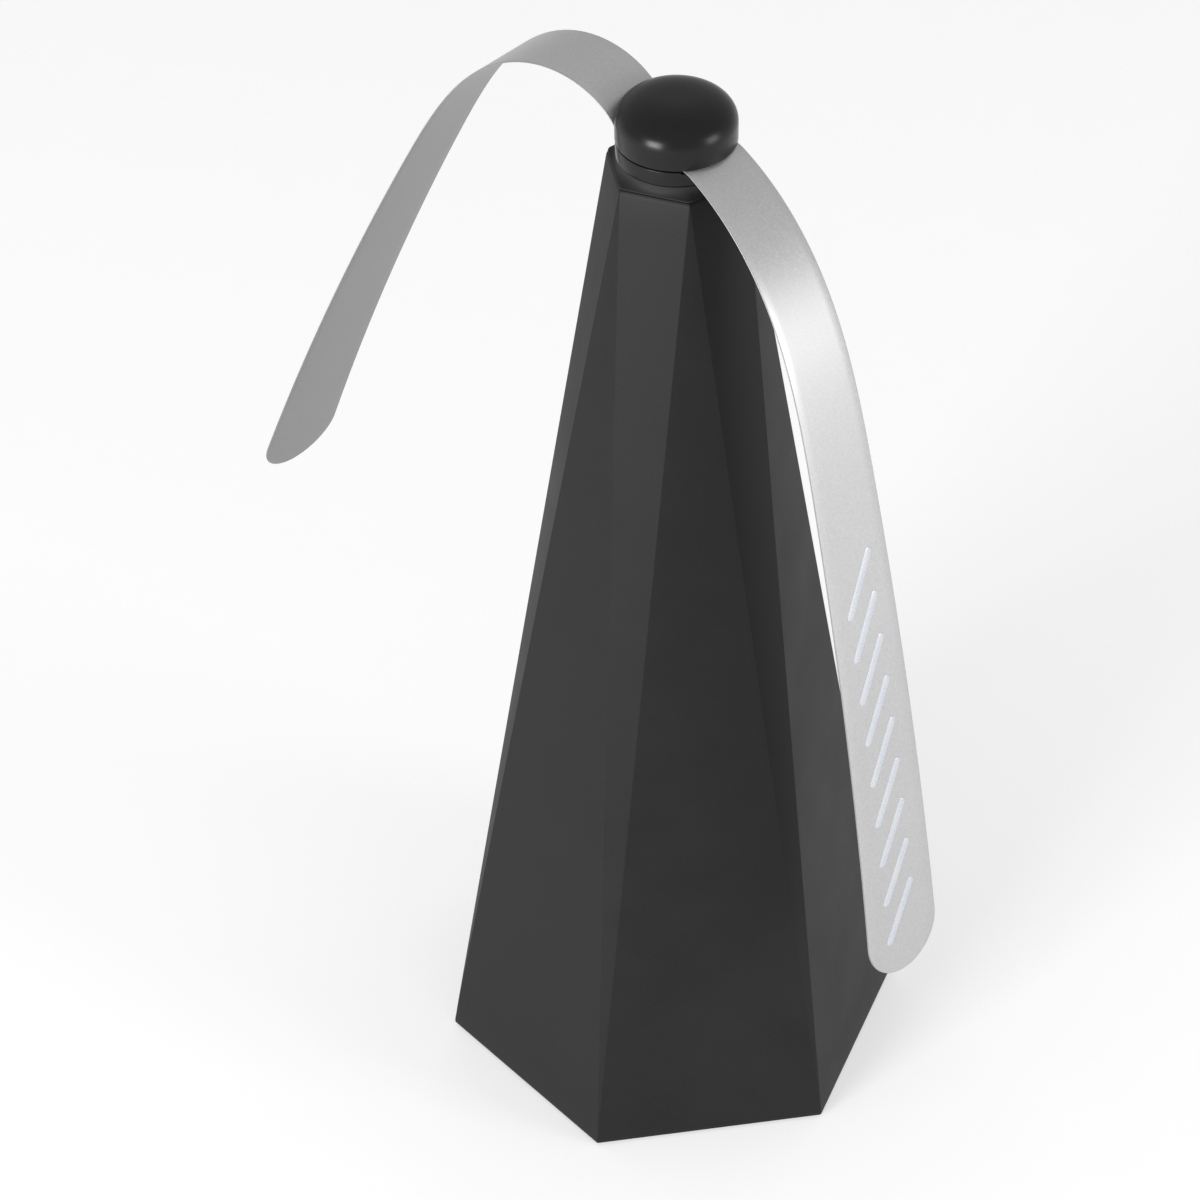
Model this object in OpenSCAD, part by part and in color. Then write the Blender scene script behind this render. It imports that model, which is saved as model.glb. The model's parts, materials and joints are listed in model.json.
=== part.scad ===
// Table-top fan with two soft blades. A hollow faceted tower holds two cells, a switch and a
// geared motor, and a domed hub above it carries the blades slowly round.
// Origin at the centre of the anti-slip ring's lower face, +Z up. Two of the base's corners lie
// on X. Millimetres.

/* [Tower] */
// Width of the base from corner to corner
base_corners = 100; // [98:0.5:104]
// Width of the top from corner to corner
top_corners = 29.2; // [28.8:0.1:31]
// Height of the shell's upper edge above the table
shell_top = 226.2; // [224:0.2:236]
// Thickness of the shell's wall
shell_wall = 2; // [1.6:0.1:2.2]
// Gap between the shell's lower edge and the table
foot_gap = 0.8; // [0.6:0.1:1]

/* [Hub] */
// Radius of the domed cap
cap_r = 12.2; // [12:0.1:12.6]
// Height of the lower hub ring
ring_h = 3.3; // [3:0.1:3.6]
// Height of the cap's upright side
cap_side = 4; // [3.4:0.1:4.6]
// Rise of the dome above the side
dome_h = 5.9; // [5.4:0.1:6.6]

/* [Blades] */
// Length of a blade from its bend in the hub to its tip
blade_l = 193; // [173:1:197]
// Width of a blade at the hub
blade_root_w = 14.7; // [14:0.1:15.2]
// Width of a blade near its tip
blade_tip_w = 20.2; // [17:0.1:21]
// Thickness of a blade
blade_t = 0.3; // [0.3:0.05:0.5]
// Number of foil stripes on each blade
stripes = 9; // [1:1:9]

/* [Drive] */
// Gear module
gear_m = 0.5; // [0.48:0.01:0.5]
// Teeth of the motor pinion and of the idler's small wheel
pinion_teeth = 8; // [8:1:8]
// Teeth of the idler's big wheel and of the output gear
wheel_teeth = 30; // [30:1:30]
// Height of the motor's mounting face
motor_top = 150; // [148:0.5:151]

/* [Battery] */
// Diameter of a cell
cell_d = 14.2; // [14:0.1:14.4]
// Length of a cell over its contact
cell_l = 50; // [49:0.5:50.5]

/* [Hidden] */
$fn = 64;

slack = 0.15;
base_r = base_corners / 2;
top_r = top_corners / 2;
hex_ratio = cos(30);

// Levels of the hub, from the top of the tower up.
collar_gap = 0.2;
collar_z = shell_top + collar_gap;
collar_h = 2.2;
hub_z = collar_z + collar_h + 0.3;
seam_z = hub_z + ring_h;
cap_z = seam_z + blade_t;
ring_r = cap_r - 0.1;

// Levels of the base.
plate_z = 1.6;
plate_t = 2;
plate_top = plate_z + plate_t;
plate_r = base_r - shell_wall / hex_ratio - 0.8;
foot_out = 40;
foot_in = 37;
boss_r = 33;
boss_turns = [60, 120, 240, 300];

// Battery bay and door.
bay_x = cell_l + 7;
bay_y = 2 * cell_d + 2.2;
bay_h = cell_d + 1;
bay_wall = 1.2;
cell_y = cell_d / 2 + 0.4;
cell_z = plate_top + 0.3 + cell_d / 2;
cell_x0 = -bay_x / 2 + 5;
door_t = 1.4;
door_x = bay_x + 3.6;
door_y = bay_y + 2;

// Switch.
switch_y = 27;
switch_x = 13;
switch_w = 6.4;
switch_h = 5.2;
knob_travel = 2;
pin_h = 3;
pin_pitch = 3;

// Motor.
can_r = 10.2;
can_flat = 15.4;
can_l = 19.5;
can_wall = 0.7;
end_l = 4.5;
motor_low = motor_top - can_l - end_l;
terminal_x = 6.2;
terminal_h = 3;

// Leads, which end just short of the pins they are soldered to.
lead_r = 0.6;
lead_gap = 0.7;
pin_z = plate_top + switch_h + pin_h + lead_gap;
lead_top = motor_low - terminal_h - lead_gap;

// Shafts.
shaft_r = 1;

// Gear train. Both stages have the same centre distance, so the output is on the motor's axis.
axle_x = gear_m * (pinion_teeth + wheel_teeth) / 2;
pressure = 20;
tooth_share = 0.45;
mount_t = 2;
gear_z = motor_top + mount_t;
stage_h = 3;
stage_1 = gear_z + 1;
stage_2 = stage_1 + stage_h + 1.4;
cover_z = stage_2 + stage_h + 1.6;
drive_r = 19.2;
drive_wall = 1.3;
pillar_y = 15.6;
pillar_r = 2.4;
drive_screw_r = 1.1;
shell_boss_h = 14;

// Output shaft.
out_r = 1.5;
bush_r = 2.6;
bush_gap = 0.04;
out_top = cap_z + 3;

// Blades. A blade lies flat in the hub's seam as far as its start, and curls up or down from there.
// Its slope, in degrees, starts at slope, falls by bend over reach, and drifts down by drift a
// millimetre. A crease near the hub adds kick, which dies away within a few millimetres.
// Each row holds direction, start, slope, bend, reach, drift, twist and kick.
leaf_a = [130.3, 7.5, 52.7, 110.6, 83.4, 0.0602, 6.5, 26];
leaf_b = [-55.7, 9, -22.1, 50.5, 83.6, 0.051, 1, 0];
crease = 5;
curl = 2;
hinge_gap = 0.3;
slot_gap = 0.35;
stripe_w = 1.8;
stripe_first = 90.7;
stripe_pitch = 10.1;
stripe_run = 13.3;
stripe_side = 4.05;
stripe_slant = atan(2 * stripe_side / stripe_run);
stripe_end = 0.07;
foil_t = 0.06;
stations = 56;
tab_in = 4.1;
peg_x = 6;
peg_r = 0.9;

dark = "#3a3a3c";
soft_black = "#2c2c2e";
silver = "#c4c5c7";
steel = "#a9adb2";
white_plastic = "#e6e3da";

// ---------------------------------------------------------------- shared shapes

// Ring of six corners at height z.
function hex_ring(r, turn, z) = [for (k = [0:5]) [r * cos(60 * k + turn), r * sin(60 * k + turn), z]];

// Tapered six-sided tower whose top is turned by half a side, so its sides are twelve triangles.
module taper(low_r, high_r, low, high) {
    sides = concat(
        [for (k = [0:5]) [k, 6 + k, (k + 1) % 6]],
        [for (k = [0:5]) [6 + k, 6 + (k + 1) % 6, (k + 1) % 6]]
    );
    polyhedron(
        concat(hex_ring(low_r, 0, low), hex_ring(high_r, 30, high)),
        concat([[0, 1, 2, 3, 4, 5], [11, 10, 9, 8, 7, 6]], sides)
    );
}

module disc(r, z, h) {
    translate([0, 0, z]) cylinder(r = r, h = h);
}

module tube(outer, inner, z, h) {
    difference() {
        disc(outer, z, h);
        disc(inner, z - 1, h + 2);
    }
}

module block(x, y, z, h) {
    translate([-x / 2, -y / 2, z]) cube([x, y, h]);
}

// Copies its children at each of the given angles about Z.
module around(turns) {
    for (a = turns) rotate(a) children();
}

// Round-headed screw standing on its head at z, with its thread upwards.
module screw(head_r, head_h, thread_r, length, z) {
    difference() {
        disc(head_r, z - head_h, head_h);
        block(head_r * 1.2, 0.5, z - head_h - 1, 1.5);
        block(0.5, head_r * 1.2, z - head_h - 1, 1.5);
    }
    disc(thread_r, z, length);
}

// Round wire through a list of points. The bends are a little thicker than the runs.
module wire(route, r) {
    bend_r = 1.06 * r;
    for (i = [0:len(route) - 2]) {
        span = route[i + 1] - route[i];
        length = norm(span);
        tilt = acos(span[2] / length);
        turn = atan2(span[1], span[0]);
        translate(route[i]) rotate([0, tilt, turn]) cylinder(r = r, h = length, $fn = 16);
        translate(route[i + 1]) sphere(r = bend_r, $fn = 16);
    }
}

// Closed ribbon through rings of four points each.
module ribbon(rings) {
    last = len(rings) - 1;
    walls = [for (i = [0:last - 1]) for (k = [0:3]) [
        4 * i + k, 4 * i + (k + 1) % 4, 4 * i + 4 + (k + 1) % 4, 4 * i + 4 + k
    ]];
    flats = [for (w = walls) each [[w[0], w[1], w[2]], [w[0], w[2], w[3]]]];
    ends = [[3, 2, 1, 0], [4 * last, 4 * last + 1, 4 * last + 2, 4 * last + 3]];
    polyhedron([for (ring = rings) each ring], concat(ends, flats));
}

// ---------------------------------------------------------------- gears

function involute(a) = tan(a) * 180 / PI - a;

// Half the angle that a tooth takes up at radius r of a gear with pitch radius p.
function half_tooth(p, r) = tooth_share * PI * gear_m / (2 * p) * 180 / PI + involute(pressure)
    - involute(acos(min(1, p * cos(pressure) / r)));

// Outline of a spur gear, with a tooth centred on angle 0.
function gear_outline(teeth, addendum) =
    let (
        p = gear_m * teeth / 2,
        root = p - 1.2 * gear_m,
        tip = p + addendum * gear_m,
        levels = [root, p * 0.96, p, (p + tip) / 2, tip]
    )
    [for (k = [0:teeth - 1]) each concat(
        [for (r = levels) polar(r, 360 * k / teeth - half_tooth(p, r))],
        [for (i = [4:-1:0]) polar(levels[i], 360 * k / teeth + half_tooth(p, levels[i]))]
    )];

function polar(r, a) = [r * cos(a), r * sin(a)];

module gear(teeth, z, h, turn) {
    translate([0, 0, z]) rotate(turn) linear_extrude(h) polygon(gear_outline(teeth, 0.8));
}

// ---------------------------------------------------------------- blade curve

// Slope of a blade in degrees at distance s from its start.
function slope(leaf, s) =
    let (
        q = min(1, max(0, s) / leaf[4]),
        free = leaf[2] - leaf[3] * (q + sin(180 * q) / PI) - leaf[5] * s + leaf[7] * exp(-s / crease)
    )
    free * min(1, max(0, s) / curl);

// Centre line of a blade, as [distance out, height] every step millimetres from its start.
step = 0.5;
function centre_line(leaf) = [
    for (
        i = 0, at = [leaf[1], seam_z + blade_t / 2];
        i <= blade_l / step + 1;
        a = slope(leaf, (i + 0.5) * step), at = at + step * [cos(a), sin(a)], i = i + 1
    ) at
];

// Distance along the blade at which it is just clear of the cap, where it hinges.
function hinge_s(line) = step * min([for (i = [0:60]) if (line[i][0] > cap_r + 0.5) i]);

// Point of the centre line at distance s, between the two nearest steps.
function along(line, s) = s < 0 ? [line[0][0] + s, line[0][1]] :
    let (i = min(len(line) - 2, floor(s / step)), q = s / step - i)
    line[i] * (1 - q) + line[i + 1] * q;

// Point of a blade at distance s, u to the side and n above the middle of its thickness.
function blade_point(leaf, line, s, u, n) =
    let (
        c = along(line, s),
        a = slope(leaf, s),
        twist = leaf[6] * max(0, s) / blade_l,
        side = u * cos(twist) - n * sin(twist),
        up = u * sin(twist) + n * cos(twist)
    )
    [c[0] - up * sin(a), side, c[1] + up * cos(a)];

function blade_w(s) = blade_root_w + (blade_tip_w - blade_root_w) * max(0, s) / blade_l;

// Half width of the blade, rounded off at the tip.
tip_from = blade_l - blade_tip_w / 2;
function half_w(s) = s <= tip_from ? blade_w(s) / 2
    : blade_w(tip_from) / 2 * sqrt(max(0.002, 1 - pow((s - tip_from) / (blade_l - tip_from), 2)));

// Four corners of the ribbon between sides u0 and u1 and heights n0 and n1.
function ring_at(leaf, line, s, u0, u1, n0, n1) = [
    blade_point(leaf, line, s, u0, n0),
    blade_point(leaf, line, s, u1, n0),
    blade_point(leaf, line, s, u1, n1),
    blade_point(leaf, line, s, u0, n1)
];

// Full-width piece of a blade through the given distances.
module film(leaf, places) {
    line = centre_line(leaf);
    ribbon([for (s = places) ring_at(leaf, line, s, -half_w(s), half_w(s), -blade_t / 2, blade_t / 2)]);
}

module blade(leaf) {
    first = hinge_s(centre_line(leaf)) + hinge_gap / 2;
    straight = [for (i = [0:stations]) first + (tip_from - first) * pow(i / stations, 1.3)];
    rounding = [for (i = [1:12]) tip_from + (blade_l - tip_from) * sin(90 * i / 12)];
    color(silver) rotate(leaf[0]) film(leaf, concat(straight, rounding));
}

// Share of its full width that a stripe has at q along it, rounded off at both ends.
function stripe_share(q) =
    let (d = min(q, 1 - q) / stripe_end)
    d >= 1 ? 1 : max(0.35, sqrt(1 - pow(1 - d, 2)));

// Slanted foil stripes laid on the blade's upper face.
module foil(leaf) {
    line = centre_line(leaf);
    color("#dfe3ea") rotate(leaf[0]) for (k = [0:stripes - 1]) {
        first = stripe_first + k * stripe_pitch;
        rings = [for (q = [0, 0.03, stripe_end, 0.25, 0.5, 0.75, 1 - stripe_end, 0.97, 1])
            let (
                s = first + stripe_run * q,
                u = stripe_side * (1 - 2 * q),
                w = stripe_w / 2 / cos(stripe_slant) * stripe_share(q)
            )
            ring_at(leaf, line, s, u - w, u + w, blade_t / 2 - 0.02, blade_t / 2 + foil_t)];
        ribbon(rings);
    }
}

// Clamped end of a blade: a flat tab on a peg, and the curl that leads it out of the hub.
module blade_root(leaf) {
    last = hinge_s(centre_line(leaf)) - hinge_gap / 2;
    color(silver) rotate(leaf[0]) difference() {
        film(leaf, concat([tab_in - leaf[1]], [for (i = [0:10]) last * i / 10]));
        translate([peg_x, 0, 0]) disc(peg_r + 0.1, seam_z - 1, blade_t + 2);
    }
}

// Room for a curling blade in the hub, from the seam as far as the blade's outer face (way 1 above
// it, -1 below it).
module leaf_slot(leaf, way) {
    line = centre_line(leaf);
    seam = seam_z + blade_t / 2;
    edge = [for (i = [0:2:40]) line[i] + way * (blade_t / 2 + slot_gap)
        * [-sin(slope(leaf, i * step)), cos(slope(leaf, i * step))]];
    back = seam - way * (blade_t / 2 + 0.01);
    far = edge[len(edge) - 1][0];
    rotate(leaf[0]) rotate([90, 0, 0]) linear_extrude(blade_root_w + 1, center = true)
        polygon(concat([[leaf[1] - 0.5, back]], edge, [[far, back]]));
}

// ---------------------------------------------------------------- tower

module body_shell() {
    inset = shell_wall / hex_ratio;
    color(dark) difference() {
        union() {
            difference() {
                taper(base_r, top_r, foot_gap, shell_top);
                taper(base_r - inset, top_r - inset, foot_gap - 1, shell_top + 0.01);
            }
            intersection() {
                taper(base_r - 0.5, top_r - 0.5, foot_gap, shell_top);
                union() {
                    around(boss_turns) {
                        translate([boss_r, 0, 0]) disc(3.4, plate_top, 16);
                        translate([boss_r + 2, -0.8, plate_top]) cube([20, 1.6, 16]);
                    }
                    around([90, 270]) {
                        translate([pillar_y, 0, 0]) disc(3, cover_z + mount_t, shell_boss_h);
                        translate([pillar_y + 1.5, -0.8, cover_z + mount_t]) cube([10, 1.6, shell_boss_h]);
                    }
                }
            }
        }
        around(boss_turns) translate([boss_r, 0, 0]) disc(1.3, plate_top - 1, 13);
        around([90, 270]) translate([pillar_y, 0, 0]) disc(drive_screw_r, cover_z, 12);
    }
}

module top_collar() {
    spigot_r = (top_r - shell_wall / hex_ratio) * hex_ratio - slack;
    color(dark) difference() {
        union() {
            hull() {
                translate([0, 0, collar_z]) linear_extrude(0.5) rotate(30) circle(r = top_r - 0.1, $fn = 6);
                translate([0, 0, collar_z + collar_h - 0.1]) cylinder(r = ring_r - 0.3, h = 0.1, $fn = 36);
            }
            disc(spigot_r, collar_z - 6, 6.2);
        }
        disc(spigot_r - 1.6, collar_z - 7, 6);
        disc(bush_r, collar_z - 8, 12);
    }
    color(dark) tube(bush_r + 1.8, bush_r, collar_z - 8, 8);
}

module base_plate() {
    color(dark) difference() {
        union() {
            translate([0, 0, plate_z]) linear_extrude(plate_t) circle(r = plate_r, $fn = 6);
            block(bay_x + 2 * bay_wall, bay_y + 2 * bay_wall, plate_top - 0.1, bay_h + bay_wall);
        }
        block(bay_x, bay_y, plate_z - 1, plate_t + 1 + bay_h);
        block(door_x, door_y, plate_z - 1, 1 + door_t + slack);
        translate([0, switch_y, 0]) block(knob_travel * 2 + 4.6, 3.6, plate_z - 1, plate_t + 2);
        around(boss_turns) translate([boss_r, 0, 0]) {
            disc(1.5, plate_z - 1, plate_t + 2);
            disc(2.9, plate_z - 1, 1.9);
        }
        for (y = [-1, 1]) translate([0, switch_y, 0]) translate([y * (switch_x / 2 + 3), 0, 0])
            disc(0.7, plate_z + 0.6, 3);
    }
}

module foot_ring() {
    color("#1d1d1f") tube(foot_out, foot_in, 0, plate_z);
}

module base_screws() {
    color(steel) around(boss_turns) translate([boss_r, 0, 0]) screw(2.6, 0.8, 1.25, 10, plate_z + 0.9);
}

// ---------------------------------------------------------------- power

module battery_door() {
    latch_w = 5;
    color(dark) {
        difference() {
            block(door_x - 2 * slack, door_y - 2 * slack, plate_z, door_t);
            for (i = [-2:2]) translate([door_x / 2 - 9 + 1.6 * i, 0, 0]) block(0.7, 12, plate_z - 1, 1.3);
        }
        translate([bay_x / 2 - 3.2, -latch_w / 2, plate_z + door_t - 0.1]) cube([1.4, latch_w, 2.4]);
    }
}

// Plain cell lying along X, with its raised contact at the end that way points to.
module cell(way) {
    nub = 1.6;
    rotate([0, 90, 0]) {
        color("#4d6f8f") disc(cell_d / 2, way > 0 ? 0 : nub, cell_l - nub);
        color(steel) disc(2.6, way > 0 ? cell_l - nub : 0, nub);
    }
}

module cell_1() {
    translate([cell_x0, cell_y, cell_z]) cell(1);
}

module cell_2() {
    translate([cell_x0 + 0.4, -cell_y, cell_z]) cell(-1);
}

// Coil of separate turns, tapering away from its plate.
module contact_spring(length) {
    turns = 4;
    plate = 0.4;
    rotate([0, 90, 0]) {
        for (i = [0:turns - 1]) translate([0, 0, plate + 0.35 + i * (length - plate - 0.7) / (turns - 1)])
            rotate_extrude() translate([4 - 0.5 * i, 0]) circle(r = 0.35, $fn = 16);
        translate([0, 0, plate / 2]) cube([10, 10, plate], center = true);
    }
}

module battery_springs() {
    x_end = bay_x / 2 - 0.1;
    color(steel) {
        translate([-x_end, cell_y, cell_z]) contact_spring(cell_x0 + x_end);
        translate([x_end, -cell_y, cell_z]) mirror([1, 0, 0])
            contact_spring(x_end - cell_x0 - 0.4 - cell_l);
    }
}

module battery_contacts() {
    x_end = bay_x / 2 - 0.1;
    reach_1 = x_end - cell_x0 - cell_l;
    reach_2 = x_end + cell_x0 + 0.4;
    color(steel) {
        translate([x_end - reach_1, cell_y - 4, cell_z - 5]) cube([reach_1, 8, 10]);
        translate([-x_end, -cell_y - 4, cell_z - 5]) cube([reach_2, 8, 10]);
    }
}

module switch_body() {
    color(steel) translate([0, switch_y, 0]) difference() {
        union() {
            block(switch_x, switch_w, plate_top, switch_h);
            block(switch_x + 9, switch_w - 1, plate_top, 0.6);
            for (i = [-1:1]) translate([i * pin_pitch, 0, 0])
                block(0.6, 1.2, plate_top + switch_h - 0.1, pin_h);
        }
        block(knob_travel * 2 + 4, 3, plate_top - 1, 3.4);
        for (i = [-1, 1]) translate([i * (switch_x / 2 + 3), 0, 0]) disc(0.8, plate_top - 1, 3);
    }
}

module switch_knob() {
    color("#e3e3e3") translate([-knob_travel / 2, switch_y, 0]) difference() {
        block(3.4, 2.4, plate_z - 0.3, plate_t + 2.4);
        for (i = [-1:1]) translate([i * 1, 0, 0]) block(0.4, 3, plate_z - 1, 1);
    }
}

module switch_screws() {
    color(steel) for (i = [-1, 1]) translate([i * (switch_x / 2 + 3), switch_y, 0]) {
        disc(1.4, plate_top + 0.6, 0.7);
        disc(0.65, plate_top - 1.2, 1.9);
    }
}

module lead_plus() {
    color("#b3312c") wire([
        [bay_x / 2 + 2.2, cell_y, cell_z],
        [bay_x / 2 + 4, cell_y, cell_z + 8],
        [16, 9, 60],
        [9, 6, 100],
        [terminal_x, 1, lead_top]
    ], lead_r);
}

module lead_minus() {
    color("#202022") wire([
        [-bay_x / 2 - 2.2, cell_y, cell_z],
        [-bay_x / 2 - 3.4, bay_y / 2 + 2.6, cell_z + 3],
        [-12, switch_y - 3, pin_z + 5],
        [-pin_pitch, switch_y, pin_z]
    ], lead_r);
}

module lead_switch() {
    color("#202022") wire([
        [0, switch_y, pin_z],
        [-1, switch_y - 3, pin_z + 12],
        [-9, 9, 70],
        [-8, 4, 105],
        [-terminal_x, 1, lead_top]
    ], lead_r);
}

// ---------------------------------------------------------------- motor

// Round outline with two flats.
module can_outline(r, flat) {
    intersection() {
        circle(r = r);
        square([flat, 4 * r], center = true);
    }
}

module motor_can() {
    low = motor_low + end_l;
    color(steel) difference() {
        union() {
            translate([0, 0, low]) linear_extrude(can_l) can_outline(can_r, can_flat);
            disc(3, motor_top - 0.1, 1.7);
        }
        translate([0, 0, low - 1]) linear_extrude(can_l + 1 - can_wall)
            can_outline(can_r - can_wall, can_flat - 2 * can_wall);
        disc(shaft_r + 0.05, motor_top - 2, 5);
        for (y = [-1, 1]) translate([0, 8 * y, 0]) disc(0.85, motor_top - 2, 3);
    }
}

module motor_endcap() {
    color(white_plastic) difference() {
        union() {
            translate([0, 0, motor_low]) linear_extrude(end_l) can_outline(can_r, can_flat);
            disc(3, motor_low - 1.5, 1.6);
        }
        translate([0, 0, motor_low + 1.6]) linear_extrude(end_l) can_outline(can_r - 1.4, can_flat - 2.8);
        disc(shaft_r + 0.05, motor_low - 1, 4);
        for (x = [-1, 1]) translate([terminal_x * x, 0, 0]) block(0.7, 2.4, motor_low - 1, 4);
    }
}

module motor_terminals() {
    color("#c9a65a") for (x = [-1, 1]) translate([terminal_x * x, 0, 0])
        block(0.5, 2.2, motor_low - terminal_h, terminal_h + 2.6);
}

module motor_magnets() {
    low = motor_low + end_l;
    color("#4a4d52") difference() {
        translate([0, 0, low + 2]) linear_extrude(can_l - 5)
            can_outline(can_r - can_wall, can_flat - 2 * can_wall);
        disc(6.6, low, can_l);
        block(can_flat, 8, low, can_l);
    }
}

module motor_shaft() {
    color(steel) disc(shaft_r, motor_low - 0.8, gear_z + 5 - motor_low + 0.8);
}

module motor_armature() {
    low = motor_low + end_l + 3;
    color("#8a5a36") difference() {
        disc(6.1, low, 12);
        around([0, 120, 240]) translate([6.1, 0, 0]) disc(1.6, low - 1, 14);
        disc(shaft_r, low - 1, 14);
    }
}

module commutator() {
    color("#c98b4b") tube(2.2, shaft_r, motor_low + 3, 3.6);
}

module motor_screws() {
    color(steel) for (y = [-1, 1]) translate([0, 8 * y, 0]) {
        disc(1.5, gear_z, 0.8);
        disc(0.8, gear_z - 3, 3);
    }
}

// ---------------------------------------------------------------- gearbox

module pinion() {
    color(white_plastic) difference() {
        gear(pinion_teeth, gear_z + 0.5, stage_h + 1.2, 360 / pinion_teeth / 2);
        disc(shaft_r, gear_z, 10);
    }
}

module gearbox_base() {
    color("#d8d8d4") difference() {
        union() {
            disc(drive_r, motor_top, mount_t);
            tube(drive_r, drive_r - drive_wall, motor_top, cover_z - motor_top);
            around([90, 270]) translate([pillar_y, 0, 0]) disc(pillar_r, motor_top, cover_z - motor_top);
            translate([axle_x, 0, 0]) disc(2, gear_z - 0.1, 0.5);
        }
        disc(3.1, motor_top - 1, mount_t + 2);
        around([90, 270]) translate([pillar_y, 0, 0]) disc(drive_screw_r + 0.15, motor_top - 1, 30);
        for (y = [-1, 1]) translate([0, 8 * y, 0]) disc(0.95, motor_top - 1, mount_t + 2);
        translate([axle_x, 0, 0]) disc(shaft_r, motor_top + 0.6, 10);
    }
}

module gearbox_cover() {
    color("#d8d8d4") difference() {
        union() {
            disc(drive_r, cover_z, mount_t);
            disc(bush_r + 1.6, cover_z, 10);
        }
        disc(bush_r, cover_z - 1, 12);
        around([90, 270]) translate([pillar_y, 0, 0]) disc(drive_screw_r + 0.15, cover_z - 1, mount_t + 2);
        translate([axle_x, 0, 0]) disc(shaft_r, cover_z - 1, 2.4);
    }
}

module gearbox_screws() {
    color(steel) around([90, 270]) translate([pillar_y, 0, 0])
        screw(2.2, 1.2, drive_screw_r - 0.05, cover_z + 10 - motor_top, motor_top);
}

module idler_axle() {
    color(steel) translate([axle_x, 0, 0]) disc(shaft_r, motor_top + 0.6, cover_z + 1.4 - motor_top - 0.6);
}

module idler_gear() {
    color(white_plastic) translate([axle_x, 0, 0]) difference() {
        union() {
            gear(wheel_teeth, stage_1, stage_h, 0);
            gear(pinion_teeth, stage_1 + stage_h - 0.1, stage_h + 1.9, 0);
            disc(1.45, stage_1 - 0.5, cover_z - stage_1 + 0.3);
        }
        disc(shaft_r + 0.05, stage_1 - 1, 20);
    }
}

module output_gear() {
    color(white_plastic) difference() {
        union() {
            gear(wheel_teeth, stage_2, stage_h, 360 / wheel_teeth / 2);
            disc(3, stage_2 + stage_h - 0.1, 1.4);
        }
        disc(out_r, stage_2 - 1, 10);
    }
}

module output_shaft() {
    color(steel) disc(out_r, stage_2, out_top - stage_2);
}

module lower_bush() {
    color("#c9a65a") tube(bush_r, out_r + bush_gap, cover_z, 10);
}

module upper_bush() {
    color("#c9a65a") tube(bush_r, out_r + bush_gap, collar_z - 8, collar_h + 7.8);
}

module thrust_washer() {
    color(white_plastic) tube(3.6, out_r, hub_z - 0.25, 0.25);
}

// ---------------------------------------------------------------- hub

module hub_base() {
    color(soft_black) {
        difference() {
            union() {
                disc(ring_r, hub_z, ring_h);
                disc(3.4, hub_z, ring_h + 3);
            }
            disc(out_r, hub_z - 1, 12);
            leaf_slot(leaf_b, -1);
        }
        for (leaf = [leaf_a, leaf_b]) rotate(leaf[0]) translate([peg_x, 0, 0])
            disc(peg_r, seam_z - 0.1, 1.9);
    }
}

// Half outline of the cap's dome: an upright side, a soft shoulder and a shallow crown.
function dome_outline(r, side, rise) = concat(
    [[0, 0], [r, 0], [r, side]],
    [for (a = [6:6:84]) [r * pow(cos(a), 0.62), side + rise * sin(a)]],
    [[0, side + rise]]
);

module hub_cap() {
    wall = 1.4;
    post_h = blade_t + cap_side + 0.72 * dome_h;
    color(soft_black) difference() {
        translate([0, 0, cap_z]) rotate_extrude($fn = 48) polygon(dome_outline(cap_r, cap_side, dome_h));
        translate([0, 0, cap_z - 0.01]) rotate_extrude($fn = 48)
            polygon(dome_outline(cap_r - wall, cap_side - 0.6, dome_h - wall + 0.6));
        leaf_slot(leaf_a, 1);
    }
    color(soft_black) around([leaf_b[0] + 90, leaf_b[0] - 90])
        translate([7.4, 0, 0]) disc(1.6, seam_z, post_h);
}

module blade_a_root() {
    blade_root(leaf_a);
}

module blade_b_root() {
    blade_root(leaf_b);
}

module blade_a() {
    blade(leaf_a);
}

module blade_b() {
    blade(leaf_b);
}

module stripes_a() {
    foil(leaf_a);
}

module stripes_b() {
    foil(leaf_b);
}

body_shell();
top_collar();
base_plate();
foot_ring();
base_screws();
battery_door();
cell_1();
cell_2();
battery_springs();
battery_contacts();
switch_body();
switch_knob();
switch_screws();
lead_plus();
lead_minus();
lead_switch();
motor_can();
motor_endcap();
motor_terminals();
motor_magnets();
motor_shaft();
motor_armature();
commutator();
pinion();
gearbox_base();
gearbox_cover();
gearbox_screws();
motor_screws();
idler_axle();
idler_gear();
output_gear();
output_shaft();
lower_bush();
upper_bush();
thrust_washer();
hub_base();
hub_cap();
blade_a_root();
blade_b_root();
blade_a();
blade_b();
stripes_a();
stripes_b();
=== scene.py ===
"""Table-top fan with two soft blades: what it looks like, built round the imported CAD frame."""

import json
import math

import bmesh
import bpy
from mathutils import Matrix, Vector


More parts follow.
